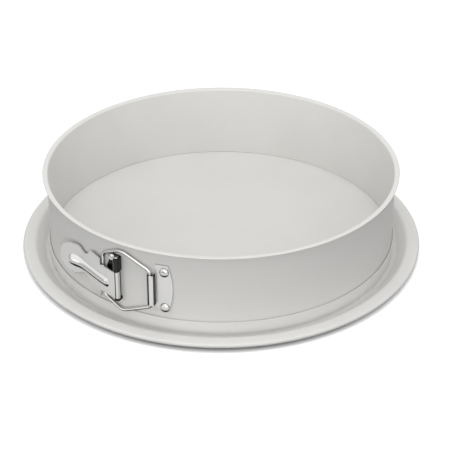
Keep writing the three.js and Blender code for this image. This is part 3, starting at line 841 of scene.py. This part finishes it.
build_tray()
build_band()
build_tongue()
build_hinge_bracket()
build_catch_bracket()
build_rivets("hinge", HINGE_RIVET_ALONG, 0, LATCH_HEIGHT, "ring_left")
build_rivets("catch", CATCH_RIVET_ALONG, catch_angle, LATCH_HEIGHT - CATCH_RIVET_DROP, "ring_right")
build_pin()
build_lever()
build_bail()


# Stage, light and camera

CAMERA_AZIMUTH = math.radians(32.9)
CAMERA_ELEVATION = math.radians(30.09)
CAMERA_DISTANCE = 1.2
CAMERA_LENS = 123.8
AIM_HEIGHT = 0.0285
AIM_RIGHT = 0.0051
AIM_UP = -0.0155
SENSOR_WIDTH = 36
LAMP_DISTANCE = 1.6

# The room: how bright it lights the pan, and what reflections see at the horizon and overhead
SKY = 0.64
ROOM = 0.5
CEILING = 1.1
HORIZON = (-0.05, 0.5)

# The table: light that it throws back, its shade round the pan, and how far out reflections show it
FLOOR_SIZE = 6
FLOOR_BOUNCE = 0.18
FLOOR_PALE = 0.92
FLOOR_DARK = 0.03
FLOOR_GLOW = 0.4
FLOOR_SHADE = 0.009
DARK_SHADE = (0.08, 0.45)
PALE_SHADE = (0.28, 0.75)
MIRROR_NEAR = 0.88
MIRROR_FAR = 0.04
MIRROR_EDGE = (0.24, 0.42)
MIRROR_LEFT = 0.85
MIRROR_LEFT_EDGE = (-0.09, -0.02)


def ranged(tree, value, low, high, first, last):
    """A value between first and last, taken to the range from low to high."""
    node = tree.nodes.new("ShaderNodeMapRange")
    node.interpolation_type = "SMOOTHSTEP"
    node.inputs["From Min"].default_value = first
    node.inputs["From Max"].default_value = last
    node.inputs["To Min"].default_value = low
    node.inputs["To Max"].default_value = high
    tree.links.new(value, node.inputs["Value"])
    return node.outputs["Result"]


def by_ray(tree, bounced, reflected, seen):
    """One value for light that bounces on, one for reflections, and one for what the camera sees."""
    rays = tree.nodes.new("ShaderNodeLightPath")
    value = None
    choices = (("Is Glossy Ray", reflected), ("Is Transmission Ray", seen), ("Is Camera Ray", seen))
    for name, other in choices:
        mix = tree.nodes.new("ShaderNodeMix")
        tree.links.new(rays.outputs[name], mix.inputs["Factor"])
        if value is None:
            mix.inputs["A"].default_value = bounced
        else:
            tree.links.new(value, mix.inputs["A"])
        if isinstance(other, float):
            mix.inputs["B"].default_value = other
        else:
            tree.links.new(other, mix.inputs["B"])
        value = mix.outputs["Result"]
    return value


def build_stage():
    """A pale table. It is seen white, throws little light back onto the pan, and mirrors dark far from it."""
    mesh = bpy.data.meshes.new("floor")
    corners = [(x * FLOOR_SIZE, y * FLOOR_SIZE, 0) for x, y in ((-1, -1), (1, -1), (1, 1), (-1, 1))]
    mesh.from_pydata(corners, [], [(0, 1, 2, 3)])
    floor = bpy.data.objects.new("floor", mesh)
    bpy.context.scene.collection.objects.link(floor)
    material, tree, shader = new_material("floor", (0.9, 0.9, 0.9), 0.0, 0.9)
    shader.inputs["Specular IOR Level"].default_value = 0
    shader.inputs["Emission Color"].default_value = (1, 1, 1, 1)
    place = tree.nodes.new("ShaderNodeNewGeometry")
    distance = tree.nodes.new("ShaderNodeVectorMath")
    distance.operation = "LENGTH"
    tree.links.new(place.outputs["Position"], distance.inputs[0])
    parts = tree.nodes.new("ShaderNodeSeparateXYZ")
    tree.links.new(place.outputs["Position"], parts.inputs["Vector"])
    near = ranged(tree, distance.outputs["Value"], MIRROR_NEAR, MIRROR_FAR, *MIRROR_EDGE)
    right = ranged(tree, parts.outputs["X"], MIRROR_LEFT, 1.0, *MIRROR_LEFT_EDGE)
    mirrored = tree.nodes.new("ShaderNodeMath")
    mirrored.operation = "MULTIPLY"
    tree.links.new(near, mirrored.inputs[0])
    tree.links.new(right, mirrored.inputs[1])
    open_table = tree.nodes.new("ShaderNodeAmbientOcclusion")
    open_table.inputs["Distance"].default_value = FLOOR_SHADE
    # Painted shadow: the table's seen colour and glow fall off with ambient occlusion round the pan.
    seen = ranged(tree, open_table.outputs["AO"], FLOOR_DARK, FLOOR_PALE, *DARK_SHADE)
    glow = ranged(tree, open_table.outputs["AO"], 0.0, FLOOR_GLOW, *PALE_SHADE)
    tone = by_ray(tree, FLOOR_BOUNCE, mirrored.outputs["Value"], seen)
    tree.links.new(tone, shader.inputs["Base Color"])
    tree.links.new(by_ray(tree, 0.0, 0.0, glow), shader.inputs["Emission Strength"])
    mesh.materials.append(material)


def build_world():
    """Even light for the pan, a white background, and in reflections a dim room under a bright ceiling."""
    world = bpy.data.worlds.new("studio")
    bpy.context.scene.world = world
    world.use_nodes = True
    tree = world.node_tree
    back = tree.nodes["Background"]
    back.inputs["Color"].default_value = (1, 1, 1, 1)
    direction = tree.nodes.new("ShaderNodeTexCoord")
    parts = tree.nodes.new("ShaderNodeSeparateXYZ")
    tree.links.new(direction.outputs["Generated"], parts.inputs["Vector"])
    room = ranged(tree, parts.outputs["Z"], ROOM, CEILING, *HORIZON)
    tree.links.new(by_ray(tree, SKY, room, 1.0), back.inputs["Strength"])


def add_softbox(name, azimuth, elevation, size, power):
    """A round soft lamp that looks at the pan. Azimuth 0 is on the latch's side, 90 on the right."""
    data = bpy.data.lights.new(name, "AREA")
    data.shape = "DISK"
    data.size = size
    data.energy = power
    lamp = bpy.data.objects.new(name, data)
    bpy.context.scene.collection.objects.link(lamp)
    a, e = math.radians(azimuth), math.radians(elevation)
    direction = Vector((math.sin(a) * math.cos(e), -math.cos(a) * math.cos(e), math.sin(e)))
    lamp.location = direction * LAMP_DISTANCE
    lamp.rotation_euler = direction.to_track_quat("Z", "Y").to_euler()


def build_camera():
    data = bpy.data.cameras.new("camera")
    data.lens = CAMERA_LENS
    data.sensor_width = SENSOR_WIDTH
    camera = bpy.data.objects.new("camera", data)
    bpy.context.scene.collection.objects.link(camera)
    side = Vector((math.sin(CAMERA_AZIMUTH), -math.cos(CAMERA_AZIMUTH), 0))
    direction = side * math.cos(CAMERA_ELEVATION) + Vector((0, 0, math.sin(CAMERA_ELEVATION)))
    right = Vector((math.cos(CAMERA_AZIMUTH), math.sin(CAMERA_AZIMUTH), 0))
    up = direction.cross(right)
    centre = Vector((0, 0, AIM_HEIGHT))
    camera.location = centre + direction * CAMERA_DISTANCE
    target = centre + right * AIM_RIGHT + up * AIM_UP
    camera.rotation_euler = (camera.location - target).to_track_quat("Z", "Y").to_euler()
    bpy.context.scene.camera = camera


build_stage()
build_world()
add_softbox("key", azimuth=30, elevation=20, size=0.9, power=7.6)
add_softbox("top", azimuth=32.9, elevation=80, size=1.0, power=7.8)
add_softbox("left", azimuth=-25, elevation=8, size=0.5, power=1.2)
add_softbox("back", azimuth=213, elevation=12, size=0.9, power=2.6)
build_camera()
bpy.context.scene.view_settings.view_transform = "Standard"
